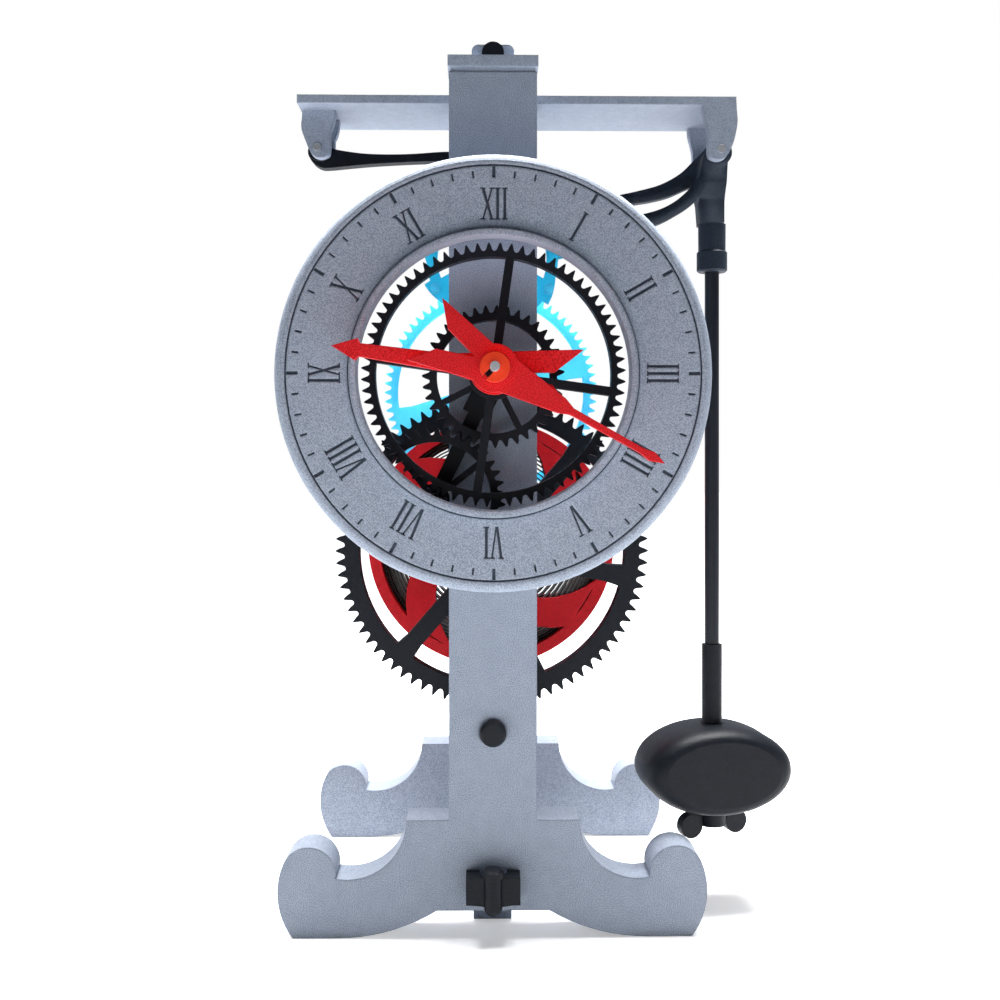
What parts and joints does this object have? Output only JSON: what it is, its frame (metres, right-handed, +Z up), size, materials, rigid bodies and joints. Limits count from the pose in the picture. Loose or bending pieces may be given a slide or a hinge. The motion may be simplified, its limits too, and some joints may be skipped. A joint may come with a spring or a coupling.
{
  "type": "pendulum_clock_model",
  "caption": "Spring-driven pendulum clock model with scroll-footed columns, open wheel train, engraved ring dial and hooked detent escapement",
  "frame": {"origin": "on the floor under the middle of the whole object's box", "axes": "X to the viewer's right across the dial, Y from the dial back through the clock, Z up"},
  "size_m": [0.158, 0.1704, 0.2648],
  "materials": {
    "grey_print": "printed, silk grey with fine layer lines",
    "black_print": "printed, black",
    "red_print": "printed, red",
    "drum_red_print": "printed, deep red",
    "orange_print": "printed, orange red",
    "blue_print": "printed, light blue",
    "arbor_steel": "drawn bright steel",
    "spring_steel": "blued spring strip",
    "rod_black": "pultruded carbon rod"
  },
  "bodies": {
    "frame": {"front_frame": "grey_print", "rear_frame": "grey_print", "base_beam": "grey_print", "front_lock_key": "black_print", "front_lock_pin": "black_print", "rear_lock_key": "black_print", "rear_lock_pin": "black_print", "spacing_bar": "grey_print", "front_peg": "black_print", "rear_peg": "black_print", "top_bridge": "grey_print", "front_cap_peg": "black_print", "rear_cap_peg": "black_print", "hanger_beam": "grey_print", "pendulum_pin": "arbor_steel", "detent_pin": "arbor_steel", "dial": "grey_print", "hand_stud": "arbor_steel", "hand_clip": "orange_print", "idler_arm": "black_print", "idler_stud": "arbor_steel", "click_screw": "arbor_steel"},
    "great": {"great_wheel": "black_print", "barrel": "drum_red_print", "barrel_cross": "drum_red_print", "mainspring": "spring_steel", "drive_pinion": "black_print"},
    "winding": {"winding_arbor": "arbor_steel", "spring_core": "arbor_steel", "ratchet_wheel": "black_print", "winding_key": "red_print"},
    "centre": {"centre_arbor": "arbor_steel", "centre_pinion": "black_print", "centre_wheel": "blue_print"},
    "escape": {"escape_arbor": "arbor_steel", "escape_pinion": "blue_print", "escape_wheel": "blue_print", "impulse_pins": "blue_print"},
    "idler": {"idler_wheel": "black_print", "idler_pinion": "black_print"},
    "minute": {"minute_wheel": "black_print", "minute_hand": "red_print"},
    "hour": {"hour_wheel": "black_print", "hour_hand": "red_print"},
    "detent": {"detent_lever": "black_print"},
    "pendulum": {"pendulum_head": "black_print", "rod_sleeve": "black_print", "pendulum_rod": "rod_black", "bob_sleeve": "black_print", "bob": "black_print"},
    "rating": {"rating_nut": "black_print"},
    "click_arm": {"click": "red_print"}
  },
  "joints": [
    {"name": "great_spin", "type": "hinge", "parent": "frame", "child": "great", "pos_m": [-0.01549, -0.011, 0.112], "axis": [0, 1, 0], "continuous": true},
    {"name": "winding_spin", "type": "hinge", "parent": "frame", "child": "winding", "pos_m": [-0.01549, 0.0642, 0.112], "axis": [0, 1, 0], "continuous": true},
    {"name": "centre_spin", "type": "hinge", "parent": "frame", "child": "centre", "pos_m": [-0.01549, 0.005, 0.1648], "axis": [0, 1, 0], "continuous": true},
    {"name": "escape_spin", "type": "hinge", "parent": "frame", "child": "escape", "pos_m": [-0.01549, 0.005, 0.20478], "axis": [0, 1, 0], "continuous": true},
    {"name": "idler_spin", "type": "hinge", "parent": "frame", "child": "idler", "pos_m": [-0.03245, -0.0442, 0.12968], "axis": [0, 1, 0], "continuous": true},
    {"name": "minute_spin", "type": "hinge", "parent": "frame", "child": "minute", "pos_m": [-0.01549, -0.0442, 0.1648], "axis": [0, 1, 0], "continuous": true},
    {"name": "hour_spin", "type": "hinge", "parent": "frame", "child": "hour", "pos_m": [-0.01549, -0.0522, 0.1648], "axis": [0, 1, 0], "continuous": true},
    {"name": "detent_swing", "type": "hinge", "parent": "frame", "child": "detent", "pos_m": [-0.06999, -0.0106, 0.23817], "axis": [0, 1, 0], "range_deg": [-5, 0]},
    {"name": "pendulum_swing", "type": "hinge", "parent": "frame", "child": "pendulum", "pos_m": [0.05471, -0.0106, 0.23617], "axis": [0, 1, 0], "range_deg": [-6, 6]},
    {"name": "rating_turn", "type": "hinge", "parent": "pendulum", "child": "rating", "pos_m": [0.05471, -0.0106, 0.024], "axis": [0, 0, 1], "range_deg": [-170, 170]},
    {"name": "click_swing", "type": "hinge", "parent": "frame", "child": "click_arm", "pos_m": [-0.00749, 0.0669, 0.129], "axis": [0, 1, 0], "range_deg": [0, 35]}
  ],
  "couplings": [
    {"joint": "centre_spin", "follows": "great_spin", "ratio": -10},
    {"joint": "escape_spin", "follows": "great_spin", "ratio": 120},
    {"joint": "idler_spin", "follows": "great_spin", "ratio": -0.25641},
    {"joint": "minute_spin", "follows": "great_spin", "ratio": 0.25641},
    {"joint": "hour_spin", "follows": "great_spin", "ratio": 0.021368}
  ]
}
